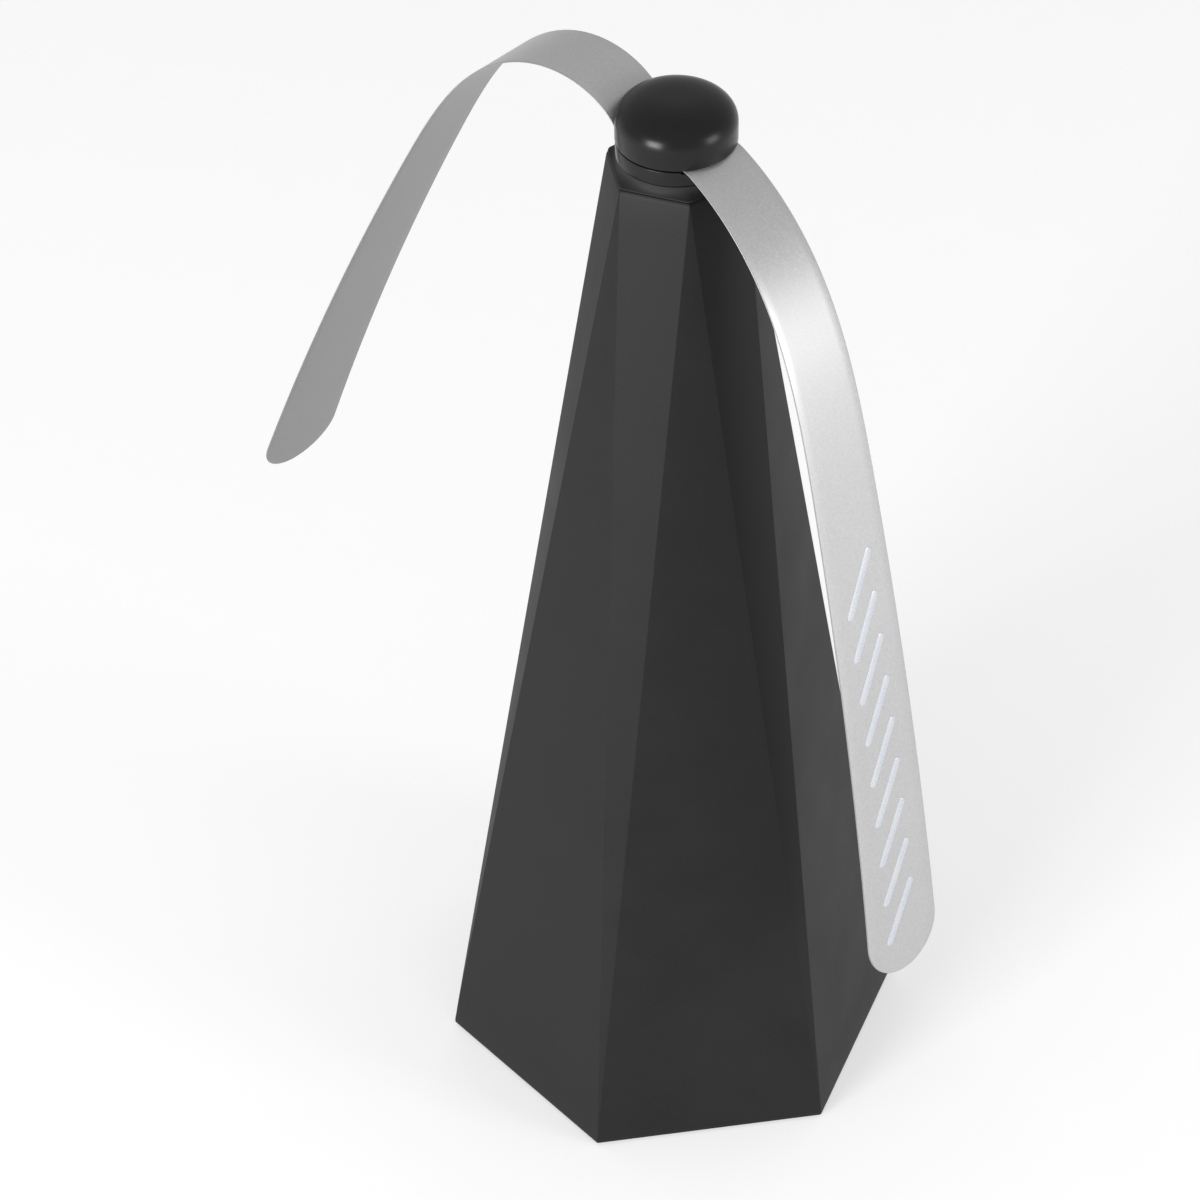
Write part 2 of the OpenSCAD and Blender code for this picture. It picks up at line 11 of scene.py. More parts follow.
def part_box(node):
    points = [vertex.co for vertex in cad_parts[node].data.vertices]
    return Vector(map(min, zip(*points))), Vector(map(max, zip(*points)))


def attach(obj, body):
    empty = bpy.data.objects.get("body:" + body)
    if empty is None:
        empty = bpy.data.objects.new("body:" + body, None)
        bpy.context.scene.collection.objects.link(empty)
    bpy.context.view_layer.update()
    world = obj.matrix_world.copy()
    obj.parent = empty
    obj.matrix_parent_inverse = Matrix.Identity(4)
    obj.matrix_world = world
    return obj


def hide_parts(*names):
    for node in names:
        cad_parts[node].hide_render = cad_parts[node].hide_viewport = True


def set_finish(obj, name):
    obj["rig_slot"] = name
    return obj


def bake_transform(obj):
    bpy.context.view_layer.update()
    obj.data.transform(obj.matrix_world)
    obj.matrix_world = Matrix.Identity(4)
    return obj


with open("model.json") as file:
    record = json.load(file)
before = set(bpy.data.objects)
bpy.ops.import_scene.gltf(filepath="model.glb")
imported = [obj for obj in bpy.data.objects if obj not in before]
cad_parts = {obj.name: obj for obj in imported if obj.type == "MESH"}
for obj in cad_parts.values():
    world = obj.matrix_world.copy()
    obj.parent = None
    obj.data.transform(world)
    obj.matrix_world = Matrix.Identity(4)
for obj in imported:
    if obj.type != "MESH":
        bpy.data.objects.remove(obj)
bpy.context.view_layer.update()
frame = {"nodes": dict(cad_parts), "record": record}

MM = 0.001

# ---------------------------------------------------------------- sizes, read from the frame

SHELL_LOW, SHELL_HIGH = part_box("body_shell")
_, COLLAR_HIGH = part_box("top_collar")
RING_LOW, RING_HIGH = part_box("hub_base")
_, CAP_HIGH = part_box("hub_cap")
ROOT_LOW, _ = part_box("blade_a_root")
_, BUSH_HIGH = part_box("upper_bush")
_, SHAFT_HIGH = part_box("output_shaft")
COVER_LOW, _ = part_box("gearbox_cover")

BASE_R = SHELL_HIGH.x
COLLAR_R = COLLAR_HIGH.y
COLLAR_INSET = 0.1 * MM
COLLAR_H = 2.1 * MM
HUB_GAP = 0.3 * MM
TOP_R = COLLAR_R + COLLAR_INSET
SHELL_WALL = 2 * MM
COLLAR_TOP = RING_LOW.z - HUB_GAP
COLLAR_Z = COLLAR_TOP - COLLAR_H
RING_R = RING_HIGH.x
CAP_R = CAP_HIGH.x
SEAM_Z = ROOT_LOW.z
FILM = 0.3 * MM
BORE_R = SHAFT_HIGH.x
BUSH_R = BUSH_HIGH.x

# ---------------------------------------------------------------- shapes

ROUND = 144
SIDES = 6
SIDE_TURN = 360 / SIDES
HALF_TURN = SIDE_TURN / 2
HEX = math.cos(math.radians(HALF_TURN))
FILLET_STEPS = 4


def polar(radius, turn, height):
    """Point at a radius and a turn in degrees."""
    a = math.radians(turn)
    return Vector((radius * math.cos(a), radius * math.sin(a), height))


def make_object(name, bm):
    """Turns a bmesh into a named, smooth-shaded object with outward normals."""
    bmesh.ops.recalc_face_normals(bm, faces=bm.faces)
    mesh = bpy.data.meshes.new(name)
    bm.to_mesh(mesh)
    bm.free()
    mesh.shade_smooth()
    made = bpy.data.objects.new(name, mesh)
    bpy.context.scene.collection.objects.link(made)
    return made


def apply_modifiers(piece):
    """Puts the piece's modifiers into its mesh."""
    graph = bpy.context.evaluated_depsgraph_get()
    mesh = bpy.data.meshes.new_from_object(piece.evaluated_get(graph))
    piece.modifiers.clear()
    piece.data = mesh


def combine(piece, other, operation):
    """Joins, cuts or intersects a piece with another solid, which is used up."""
    modifier = piece.modifiers.new("combine", "BOOLEAN")
    modifier.operation = operation
    modifier.solver = "EXACT"
    modifier.object = other
    apply_modifiers(piece)
    bpy.data.objects.remove(other)
    return piece


def soften(piece, angle):
    """Smooth shading, with the edges sharper than the angle in degrees kept crisp."""
    piece.data.shade_smooth()
    piece.data.set_sharp_from_angle(angle=math.radians(angle))
    return piece


def stack(bm, rings, closed=False, caps=True):
    """Skins rings of equal length. A closed stack joins its last ring to its first."""
    made = [[bm.verts.new(p) for p in ring] for ring in rings]
    pairs = list(zip(made, made[1:]))
    if closed:
        pairs.append((made[-1], made[0]))
    for lower, upper in pairs:
        count = len(lower)
        for k in range(count):
            n = (k + 1) % count
            bm.faces.new((lower[k], lower[n], upper[n], upper[k]))
    if caps and not closed:
        bm.faces.new(reversed(made[0]))
        bm.faces.new(made[-1])
    return bm


def turns_of(count):
    """Evenly spaced turns in degrees."""
    return [360 * k / count for k in range(count)]


def lathe(name, outline, closed=True):
    """Solid of revolution from points (radius, height). An open outline starts and ends on the axis."""
    bm = bmesh.new()
    inner = outline if closed else outline[1:-1]
    turns = turns_of(ROUND)
    rings = [[polar(r, t, z) for t in turns] for r, z in inner]
    stack(bm, rings, closed=closed, caps=False)
    if not closed:
        bm.verts.ensure_lookup_table()
        for start, (_, height) in ((0, outline[0]), (len(bm.verts) - ROUND, outline[-1])):
            middle = bm.verts.new((0, 0, height))
            bm.verts.ensure_lookup_table()
            for k in range(ROUND):
                bm.faces.new((bm.verts[start + k], bm.verts[start + (k + 1) % ROUND], middle))
    return make_object(name, bm)


def fillet(corner, before, after, radius):
    """Points that round a corner of an outline between its two neighbours."""
    c, b, a = Vector(corner), Vector(before), Vector(after)
    start = c + (b - c).normalized() * radius
    end = c + (a - c).normalized() * radius
    points = []
    for k in range(FILLET_STEPS + 1):
        t = k / FILLET_STEPS
        p = start * (1 - t) ** 2 + c * 2 * t * (1 - t) + end * t**2
        points.append((p.x, p.y))
    return points


def rounded(outline, radii):
    """Closed outline with each corner rounded by its own radius."""
    points = []
    count = len(outline)
    for k, (corner, radius) in enumerate(zip(outline, radii)):
        if radius:
            points += fillet(corner, outline[k - 1], outline[(k + 1) % count], radius)
        else:
            points.append(corner)
    return points


def cylinder(radius, low, high, at=(0, 0), count=48):
    """Plain round solid, used only to cut or join."""
    bm = bmesh.new()
    shift = Vector((*at, 0))
    stack(bm, [[polar(radius, t, z) + shift for t in turns_of(count)] for z in (low, high)])
    return make_object("tool", bm)


# ---------------------------------------------------------------- tower

EDGE_SOFT = 0.5 * MM
RIM_SOFT = 0.3 * MM
CORNER_STEPS = 4
LEVELS = 36
# Shares of the height from either end of the tower to the nearest level, and to the ring halfway
# round the softened rim, where RIM_PART of the softening is left.
LEVEL_EDGE = 0.004
RIM_STEP = 0.0012
RIM_PART = 0.3
PLATE_TOP = 3.6 * MM
BOSS_AT = 33 * MM
BOSS_TURNS = (60, 120, 240, 300)
BOSS_H = 16 * MM
PILLAR_AT = 15.6 * MM
PILLAR_TURNS = (90, 270)
PILLAR_LOW = COVER_LOW.z + 2 * MM
PILLAR_H = 14 * MM
RIB_HALF = 0.8 * MM
RIB_REACH = 20 * MM
SCREW_DEPTH = 12 * MM
BOSS_SKIN = 0.8 * MM


def taper(low_r, high_r, low, high):
    """Six-sided tower whose top is turned by half a side, so that its sides are twelve triangles."""
    bm = bmesh.new()
    feet = [bm.verts.new(polar(low_r, SIDE_TURN * k, low)) for k in range(SIDES)]
    heads = [bm.verts.new(polar(high_r, SIDE_TURN * k + HALF_TURN, high)) for k in range(SIDES)]
    for k in range(SIDES):
        n = (k + 1) % SIDES
        bm.faces.new((feet[k], feet[n], heads[k]))
        bm.faces.new((heads[k], feet[n], heads[n]))
    bm.faces.new(reversed(feet))
    bm.faces.new(heads)
    return bm


def boss(turn, radius, outer, low, height, rib):
    """Screw boss with a rib that starts rib outside its middle and ties it to the wall."""
    at = polar(radius, turn, 0)
    made = cylinder(outer, low, low + height, at.xy)
    bm = bmesh.new()
    near, far = radius + rib, radius + RIB_REACH
    corners = [(near, -RIB_HALF), (far, -RIB_HALF), (far, RIB_HALF), (near, RIB_HALF)]
    spin = Matrix.Rotation(math.radians(turn), 4, "Z")
    stack(bm, [[spin @ Vector((x, y, z)) for x, y in corners] for z in (low, low + height)])
    return combine(made, make_object("tool", bm), "UNION")


def rounded_section(low_r, high_r, share, soft, height):
    """Cross-section of the tower at a share of its height: twelve sides with rounded corners."""
    flats = (low_r * (1 - share) + high_r * HEX * share, low_r * HEX * (1 - share) + high_r * share)
    points = []
    for k in range(2 * SIDES):
        here, there = flats[k % 2] - soft, flats[1 - k % 2] - soft
        turn = HALF_TURN * k
        if there - here * HEX < 0:
            middle = polar(there / HEX, turn, height)
        elif here - there * HEX < 0:
            middle = polar(here / HEX, turn + HALF_TURN, height)
        else:
            along = (there - here * HEX) / math.sin(math.radians(HALF_TURN))
            middle = polar(math.hypot(here, along), turn + math.degrees(math.atan2(along, here)), height)
        corner = [polar(soft, turn + HALF_TURN * j / CORNER_STEPS, 0) for j in range(CORNER_STEPS + 1)]
        points += [middle + step for step in corner]
    return points


def tower_shell():
    """Hollow faceted tower with softened edges and its screw bosses."""
    low, high = SHELL_LOW.z, SHELL_HIGH.z
    inset = SHELL_WALL / HEX
    levels = [LEVEL_EDGE + (1 - 2 * LEVEL_EDGE) * k / LEVELS for k in range(LEVELS + 1)]

    def section(share, shrink=0.0, wall=0.0):
        """Section at a share of the height, drawn in by shrink at its corners."""
        height = low + (high - low) * share
        points = rounded_section(BASE_R - wall, TOP_R - wall, share, EDGE_SOFT, height)
        scale = 1 - shrink / max(p.xy.length for p in points)
        return [Vector((p.x * scale, p.y * scale, p.z)) for p in points]

    rings = [section(0, RIM_SOFT), section(RIM_STEP, RIM_SOFT * RIM_PART)]
    rings += [section(share) for share in levels]
    rings += [section(1 - RIM_STEP, RIM_SOFT * RIM_PART), section(1, RIM_SOFT)]
    rings += [section(share, wall=inset) for share in (1, *reversed(levels[1:-1]), 0)]
    bm = bmesh.new()
    stack(bm, rings, closed=True)
    bmesh.ops.dissolve_degenerate(bm, dist=0.001 * MM, edges=bm.edges)
    shell = make_object("tower_shell", bm)
    bosses = [(t, BOSS_AT, 3.4 * MM, PLATE_TOP, BOSS_H, 2 * MM, 1.3 * MM) for t in BOSS_TURNS]
    bosses += [(t, PILLAR_AT, 3 * MM, PILLAR_LOW, PILLAR_H, 1.5 * MM, 1.1 * MM) for t in PILLAR_TURNS]
    for turn, radius, outer, start, height, rib, hole in bosses:
        made = boss(turn, radius, outer, start, height, rib)
        inside = taper(BASE_R - BOSS_SKIN, TOP_R - BOSS_SKIN, low, high)
        combine(made, make_object("tool", inside), "INTERSECT")
        screw = cylinder(hole, start - MM, start + SCREW_DEPTH, polar(radius, turn, 0).xy, count=24)
        combine(made, screw, "DIFFERENCE")
        combine(shell, made, "UNION")
    soften(shell, angle=34)
    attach(shell, "tower")
    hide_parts("body_shell")
    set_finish(shell, "tower_plastic")
    return shell


SPIGOT_R = (TOP_R - SHELL_WALL / HEX) * HEX - 0.15 * MM
SPIGOT_WALL = 1.6 * MM
SPIGOT_LOW = COLLAR_Z - 6 * MM
SLEEVE_R = BUSH_R + 1.8 * MM
SLEEVE_LOW = COLLAR_Z - 8 * MM
CEILING = COLLAR_Z - MM
LIP_R = RING_R - 0.3 * MM
LIP_H = 0.35 * MM
UPRIGHT_H = 0.2 * MM
TINY = 0.06 * MM
TINY_PART = 0.3 * TINY
CORNER_CUT = 0.25 * MM
CORNER_REACH = 2.5
COVE_FROM = 12
COVE_STEPS = 9


def collar():
    """Collar that runs from the tower's hexagon to the hub's circle through a hollow curve."""
    turns = turns_of(2 * ROUND)

    def ring(share, z, shrink=0.0):
        """Outline that is the hexagon at share 0 and the circle at share 1."""
        made = []
        for t in turns:
            near = abs(t % SIDE_TURN - HALF_TURN)
            edge = COLLAR_R * HEX / math.cos(math.radians(HALF_TURN - near))
            edge -= CORNER_CUT * max(0, 1 - near / CORNER_REACH) ** 2
            made.append(polar(edge * (1 - share) + LIP_R * share - shrink, t, z))
        return made

    def circle(radius, z):
        return [polar(radius, t, z) for t in turns]

    upright_top = COLLAR_Z + UPRIGHT_H
    rings = [
        circle(BUSH_R, SLEEVE_LOW),
        circle(SLEEVE_R, SLEEVE_LOW),
        circle(SLEEVE_R, CEILING),
        circle(SPIGOT_R - SPIGOT_WALL, CEILING),
        circle(SPIGOT_R - SPIGOT_WALL, SPIGOT_LOW),
        circle(SPIGOT_R, SPIGOT_LOW),
        circle(SPIGOT_R, COLLAR_Z),
        ring(0, COLLAR_Z, TINY),
        ring(0, COLLAR_Z + TINY_PART, TINY_PART),
        ring(0, COLLAR_Z + TINY),
        ring(0, upright_top - TINY),
        ring(0, upright_top - TINY_PART, TINY_PART),
        ring(0, upright_top, TINY),
    ]
    cove = COLLAR_H - UPRIGHT_H - LIP_H
    start = math.sin(math.radians(COVE_FROM))
    for k in range(1, COVE_STEPS + 1):
        a = math.radians(COVE_FROM + (90 - COVE_FROM) * k / COVE_STEPS)
        share = (math.sin(a) - start) / (1 - start)
        rings.append(ring(share, upright_top + cove * (1 - math.cos(a)), TINY * (1 - share)))
    rings += [
        circle(LIP_R, COLLAR_TOP - TINY),
        circle(LIP_R - TINY_PART, COLLAR_TOP - TINY_PART),
        circle(LIP_R - TINY, COLLAR_TOP),
        circle(BUSH_R, COLLAR_TOP),
    ]
    bm = bmesh.new()
    stack(bm, rings, closed=True)
    made = soften(make_object("top_collar_shape", bm), angle=40)
    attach(made, "tower")
    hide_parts("top_collar")
    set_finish(made, "collar_plastic")
    return made


# ---------------------------------------------------------------- hub

EDGE = 0.25 * MM
BOSS_R = 3.4 * MM
PEG_AT = 6 * MM
PEG_R = 0.9 * MM
PEG_GAP = 0.1 * MM
PEG_ROOT = 0.5 * MM
PEG_H = 1.8 * MM
CAP_SIDE = 4 * MM
CAP_WALL = 1.4 * MM
CAP_DROP = 0.6 * MM
CROWN = 3.2
DOME_STEPS = 40
POST_AT = 7.4 * MM
POST_R = 1.6 * MM
POST_SHARE = 0.72


def hub_ring():
    """Lower half of the hub, with its boss on the shaft and the pegs that hold the blades."""
    corners = [
        (BORE_R, RING_LOW.z), (RING_R, RING_LOW.z), (RING_R, SEAM_Z),
        (BOSS_R, SEAM_Z), (BOSS_R, RING_HIGH.z), (BORE_R, RING_HIGH.z),
    ]
    made = lathe("hub_ring", rounded(corners, [0, EDGE, EDGE * 0.7, 0, EDGE, 0]))
    for leaf in LEAVES:
        at = polar(PEG_AT, leaf["turn"], 0)
        peg = cylinder(PEG_R, SEAM_Z - PEG_ROOT, SEAM_Z + PEG_H, at.xy)
        combine(made, peg, "UNION")
        if not leaf["rises"]:
            combine(made, leaf_slot(leaf), "DIFFERENCE")
    soften(made, angle=35)
    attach(made, "hub_assembly")
    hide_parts("hub_base")
    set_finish(made, "hub_plastic")
    return made


def dome_curve(radius, low, rise):
    """Soft shoulder and shallow crown, from the upright side to the axis."""
    points = []
    for k in range(DOME_STEPS + 1):
        out = math.sin(math.radians(90 * (1 - k / DOME_STEPS)))
        points.append((radius * out, low + rise * math.sqrt(1 - out**CROWN)))
    return points


def hub_dome():
    """Domed cap: a thin shell with two posts inside it."""
    low, top = SEAM_Z + FILM, CAP_HIGH.z
    rise = top - low - CAP_SIDE
    outer = dome_curve(CAP_R, low + CAP_SIDE, rise)
    inner = dome_curve(CAP_R - CAP_WALL, low + CAP_SIDE - CAP_DROP, rise - CAP_WALL + CAP_DROP)
    foot = fillet((CAP_R, low), (CAP_R - CAP_WALL, low), outer[0], EDGE)
    outline = [inner[-1]] + inner[-2::-1] + [(CAP_R - CAP_WALL, low)] + foot + outer
    made = lathe("hub_dome", outline, closed=False)
    for leaf in LEAVES:
        if leaf["rises"]:
            combine(made, leaf_slot(leaf), "DIFFERENCE")
    for side in (-90, 90):
        at = polar(POST_AT, LEAVES[1]["turn"] + side, 0)
        post = cylinder(POST_R, SEAM_Z, low + CAP_SIDE + POST_SHARE * rise, at.xy)
        combine(made, post, "UNION")
    soften(made, angle=35)
    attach(made, "hub_assembly")
    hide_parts("hub_cap")
    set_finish(made, "hub_plastic")
    return made


# ---------------------------------------------------------------- blades

# turn: direction of the blade, in degrees as all angles are. start: distance from the axis at
# which it leaves the seam's plane. slope: its slope there, once past the crease. bend: how far
# the slope falls over reach. drift: further fall per metre of blade. twist: over the whole
# length. kick: extra slope at the crease. rises: whether it leaves upwards.
LEAVES = [
    dict(name="blade_left", body="leaf_a", node="blade_a", root="blade_a_root", stripes="stripes_a",
         turn=130.3, start=7.5 * MM, slope=52.7, bend=110.6, reach=83.4 * MM, drift=60.2,
         twist=6.5, kick=26, rises=True),
    dict(name="blade_right", body="leaf_b", node="blade_b", root="blade_b_root", stripes="stripes_b",
         turn=-55.7, start=9 * MM, slope=-22.1, bend=50.5, reach=83.6 * MM, drift=51,
         twist=1, kick=0, rises=False),
]
BLADE_L = 193 * MM
ROOT_W = 14.7 * MM
TIP_W = 20.2 * MM
CREASE = 5 * MM
CURL = 2 * MM
TAB_IN = 4.1 * MM
TAB_GAP = 0.05 * MM
STEP = 0.5 * MM
CLEAR_R = CAP_R + 0.5 * MM
SLOT_GAP = 0.35 * MM
SLOT_SIDE = 0.5 * MM
SLOT_SKIN = 0.01 * MM
SLOT_STEPS = 42
TIP_FROM = BLADE_L - TIP_W / 2
TIP_END = 0.02
# How finely the film is divided: across, round its edges, near the hub, along, and round its tip.
FILM_ACROSS = 8
FILM_EDGE = 6
NEAR_STEP = 0.4 * MM
NEAR_REACH = 2 * MM
FREE_STEPS = 96
FREE_POWER = 1.25
TIP_STEPS = 22
STRIPE_COUNT = 9
STRIPE_W = 1.8 * MM
STRIPE_FIRST = 90.7 * MM
STRIPE_PITCH = 10.1 * MM
STRIPE_RUN = 13.3 * MM
STRIPE_SIDE = 4.05 * MM
STRIPE_ENDS = 7
STRIPE_MIDDLE = 8
FOIL = 0.06 * MM
# The foil's cross-section, as shares of its half width and its thickness: it starts inside the
# film, and its upper corners are cut.
FOIL_SECTION = ((-1, -0.3), (1, -0.3), (1, 0.55), (0.9, 1), (-0.9, 1), (-1, 0.55))


def leaf_slope(leaf, s):
    """Slope of a blade at distance s from its start. Before that it lies flat."""
    out = max(s, 0)
    q = min(1, out / leaf["reach"])
    fall = leaf["bend"] * (q + math.sin(math.pi * q) / math.pi) + leaf["drift"] * out
    free = leaf["slope"] - fall + leaf["kick"] * math.exp(-out / CREASE)
    return free * min(1, out / CURL)


def centre_line(leaf):
    """Points (out, height) of the blade's middle, one every STEP from its start."""
    out, height = leaf["start"], SEAM_Z + FILM / 2
    points = [(out, height)]
    for k in range(int(BLADE_L / STEP) + 2):
        a = math.radians(leaf_slope(leaf, (k + 0.5) * STEP))
        out += STEP * math.cos(a)
        height += STEP * math.sin(a)
        points.append((out, height))
    return points


def hinge_at(line):
    """Distance along the blade at which it is clear of the cap, where it hinges."""
    return STEP * next(k for k, point in enumerate(line) if point[0] > CLEAR_R)


def leaf_point(leaf, line, s, u, n):
    """Point of a blade at distance s, u to the side and n above the middle of the film."""
    k = min(len(line) - 2, max(0, int(s / STEP)))
    q = s / STEP - k
    x = line[k][0] * (1 - q) + line[k + 1][0] * q if s >= 0 else line[0][0] + s
    z = line[k][1] * (1 - q) + line[k + 1][1] * q if s >= 0 else line[0][1]
    a = math.radians(leaf_slope(leaf, s))
    twist = math.radians(leaf["twist"] * max(s, 0) / BLADE_L)
    side = u * math.cos(twist) - n * math.sin(twist)
    up = u * math.sin(twist) + n * math.cos(twist)
    local = Vector((x - up * math.sin(a), side, z + up * math.cos(a)))
    return Matrix.Rotation(math.radians(leaf["turn"]), 3, "Z") @ local


def leaf_slot(leaf):
    """Solid that clears room in the hub for the blade, between the seam and the blade's outer face."""
    line = centre_line(leaf)
    way = 1 if leaf["rises"] else -1
    far = way * (FILM / 2 + SLOT_GAP)
    near = -way * (FILM / 2 + SLOT_SKIN)
    side = polar(ROOT_W / 2 + SLOT_SIDE, leaf["turn"] + 90, 0)
    bm = bmesh.new()
    rings = []
    for k in [-1, *range(0, SLOT_STEPS, 2)]:
        middle = leaf_point(leaf, line, k * STEP, 0, far)
        floor = Vector((middle.x, middle.y, line[0][1] + near))
        if k < 0:
            middle = leaf_point(leaf, line, k * STEP, 0, near / 2)
        rings.append([floor - side, floor + side, middle + side, middle - side])
    stack(bm, rings)
    return make_object("tool", bm)


def half_width(s):
    """Half of the blade's width at distance s, down to a narrow end at its round tip."""
    width = ROOT_W + (TIP_W - ROOT_W) * min(max(s, 0), TIP_FROM) / BLADE_L
    if s <= TIP_FROM:
        return width / 2
    return width / 2 * math.sqrt(max(TIP_END**2, 1 - ((s - TIP_FROM) / (BLADE_L - TIP_FROM)) ** 2))


def film_section(half):
    """Cross-section of the film: flat faces and rounded edges, as points (side, above)."""
    r = min(FILM / 2, half * 0.9)
    points = []
    for side in (1, -1):
        for k in range(FILM_EDGE + 1):
            a = math.radians(-90 + 180 * k / FILM_EDGE)
            points.append((side * (half - r + r * math.cos(a)), side * FILM / 2 * math.sin(a)))
        for k in range(1, FILM_ACROSS):
            points.append((side * (half - r) * (1 - 2 * k / FILM_ACROSS), side * FILM / 2))
    return points


def film_stations(leaf, hinge):
    """Distances along a blade at which it has a cross-section, closer where it bends or narrows."""
    stations = [TAB_IN + TAB_GAP - leaf["start"], -3 * NEAR_STEP, -NEAR_STEP, 0]
    stations += [NEAR_STEP * k for k in range(1, int((hinge + NEAR_REACH) / NEAR_STEP))]
    first = stations[-1] + NEAR_STEP
    shares = [(k / FREE_STEPS) ** FREE_POWER for k in range(FREE_STEPS + 1)]
    stations += [first + (TIP_FROM - first) * share for share in shares]
    shares = [math.sin(math.pi / 2 * k / TIP_STEPS) for k in range(1, TIP_STEPS + 1)]
    stations += [TIP_FROM + (BLADE_L - TIP_FROM) * share for share in shares]
    return stations


def blade(leaf):
    """One soft blade, from the tab clamped in the hub's seam to its rounded tip."""
    line = centre_line(leaf)
    hinge = hinge_at(line)
    rings = []
    for s in film_stations(leaf, hinge):
        section = film_section(half_width(s))
        rings.append([leaf_point(leaf, line, s, u, n) for u, n in section])
    bm = bmesh.new()
    stack(bm, rings)
    heights = [n for _, n in film_section(ROOT_W)]
    for k, face in enumerate(bm.faces):
        # The first finish is for the upper side only; the second, a darker copy of the film that paints
        # shade, is for the edges and the underside.
        lower = min(heights[k % len(heights)], heights[(k + 1) % len(heights)])
        face.material_index = 0 if lower > 0.49 * FILM else 1
    made = make_object(leaf["name"], bm)
    made.data.materials.append(None)
    made.data.materials.append(None)
    at = polar(PEG_AT, leaf["turn"], 0)
    hole = cylinder(PEG_R + PEG_GAP, SEAM_Z - MM, SEAM_Z + FILM + MM, at.xy)
    combine(made, hole, "DIFFERENCE")
    soften(made, angle=50)
    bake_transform(made)
    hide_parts(leaf["node"], leaf["root"])
    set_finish(made, "blade_film")
    return made


def foil_stripes(leaf):
    """Slanted stripes of foil with round ends, laid on the blade's upper face."""
    line = centre_line(leaf)
    length = math.hypot(STRIPE_RUN, 2 * STRIPE_SIDE)
    lean_s, lean_u = STRIPE_RUN / length, -2 * STRIPE_SIDE / length
    half = STRIPE_W / 2
    cap = [half * (1 - math.cos(math.pi / 2 * k / STRIPE_ENDS)) for k in range(STRIPE_ENDS + 1)]
    cap[0] = half * 0.01
    middle = [half + (length - 2 * half) * k / STRIPE_MIDDLE for k in range(1, STRIPE_MIDDLE)]
    along = cap + middle + [length - c for c in reversed(cap)]
    bm = bmesh.new()
    for k in range(STRIPE_COUNT):
        first = STRIPE_FIRST + k * STRIPE_PITCH
        rings = []
        for d in along:
            from_end = min(d, length - d, half)
            wide = math.sqrt(half**2 - (half - from_end) ** 2)
            ring = []
            for side, n in FOIL_SECTION:
                s = first + lean_s * d - lean_u * wide * side
                u = STRIPE_SIDE + lean_u * d + lean_s * wide * side
                ring.append(leaf_point(leaf, line, s, u, FILM / 2 + FOIL * n))
            rings.append(ring)
        stack(bm, rings)
    made = make_object(leaf["name"] + "_foil", bm)
    soften(made, angle=50)
    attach(made, leaf["body"])
    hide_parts(leaf["stripes"])
    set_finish(made, "foil")
    return made


# ---------------------------------------------------------------- materials


class Finish:
    """A material under construction, with short calls for the nodes that it needs."""

    def __init__(self, name):
        self.material = bpy.data.materials.new(name)
        self.material.use_nodes = True
        self.tree = self.material.node_tree
        self.shader = self.tree.nodes["Principled BSDF"]
        self.place = self.node("ShaderNodeTexCoord").outputs["Object"]

    def node(self, kind, inputs=None, **settings):
        """New node with its inputs linked or set."""
        made = self.tree.nodes.new(kind)
        for key, value in settings.items():
            setattr(made, key, value)
        for key, value in (inputs or {}).items():
            self.put(made.inputs[key], value)
        return made

    def put(self, socket, value):
        """Links a socket, or sets its value."""
        if isinstance(value, bpy.types.NodeSocket):
            self.tree.links.new(value, socket)
        else:
            socket.default_value = value

    def noise(self, size, detail=2.0, stretch=(1, 1, 1)):
        """Noise whose features are about size metres across."""
        place = self.node("ShaderNodeMapping", {"Vector": self.place, "Scale": stretch}).outputs[0]
        made = self.node("ShaderNodeTexNoise", {"Vector": place, "Scale": 1 / size, "Detail": detail})
        return made.outputs["Fac"]

    def spread(self, value, low, high, start=0.3, end=0.7):
        """Maps the range from start to end onto the one from low to high."""
        made = self.node("ShaderNodeMapRange", {
            "Value": value, "From Min": start, "From Max": end, "To Min": low, "To Max": high})
        return made.outputs[0]

    def times(self, a, b):
        return self.node("ShaderNodeMath", {0: a, 1: b}, operation="MULTIPLY").outputs[0]

    def mix(self, share, a, b):
        made = self.node("ShaderNodeMix", {0: share, 6: a, 7: b}, data_type="RGBA")
        return made.outputs[2]

    def edges(self, radius):
        """1 on edges and corners, 0 on flat stretches."""
        bevel = self.node("ShaderNodeBevel", {"Radius": radius}, samples=4)
        plain = self.node("ShaderNodeNewGeometry").outputs["Normal"]
        dot = self.node("ShaderNodeVectorMath", {0: bevel.outputs[0], 1: plain}, operation="DOT_PRODUCT")
        return self.spread(dot.outputs["Value"], 1.0, 0.0, 0.9, 0.995)

    def bump(self, height, depth):
        """Normal raised by a height of 0 to 1, with depth in metres."""
        return self.node("ShaderNodeBump", {"Height": height, "Distance": depth}).outputs[0]


def rgb(r, g=None, b=None):
    """Colour for a socket; one number gives a grey."""
    return (r, r if g is None else g, r if b is None else b, 1)


def shade(colour, by):
    """Colour made lighter or darker by a factor."""
    return (*[min(1, c * by) for c in colour[:3]], 1)


ROUGH_SPREAD = 0.04
WORN_TINT = 2.2


